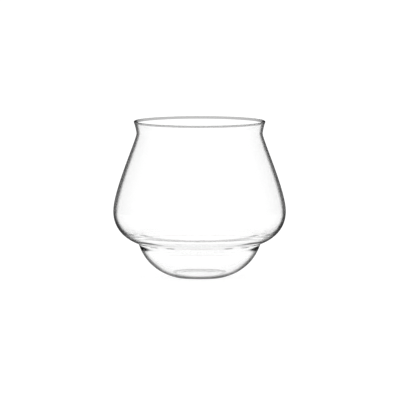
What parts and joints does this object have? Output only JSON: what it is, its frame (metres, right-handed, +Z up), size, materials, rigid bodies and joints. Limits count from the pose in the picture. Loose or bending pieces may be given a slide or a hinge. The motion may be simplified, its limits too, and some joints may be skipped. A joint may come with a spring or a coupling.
{
  "type": "tumbler",
  "caption": "Clear glass tumbler with a flared lip, a tent-shaped bowl with a round belly, a sharp waist and a round foot on a small flat base, hollow from the lip down into the foot.",
  "frame": {"origin": "centre of the flat base, on the table", "axes": "+Z up along the axis of the glass, X and Y free because the glass is round"},
  "size_m": [0.0972, 0.0972, 0.0883],
  "materials": {
    "bowl_glass": "clear, fire-polished",
    "seal_glass": "clear, fused",
    "foot_glass": "clear, fire-polished"
  },
  "bodies": {
    "root": {"bowl": "bowl_glass", "seal_ring": "seal_glass", "foot_cup": "foot_glass"}
  },
  "joints": []
}
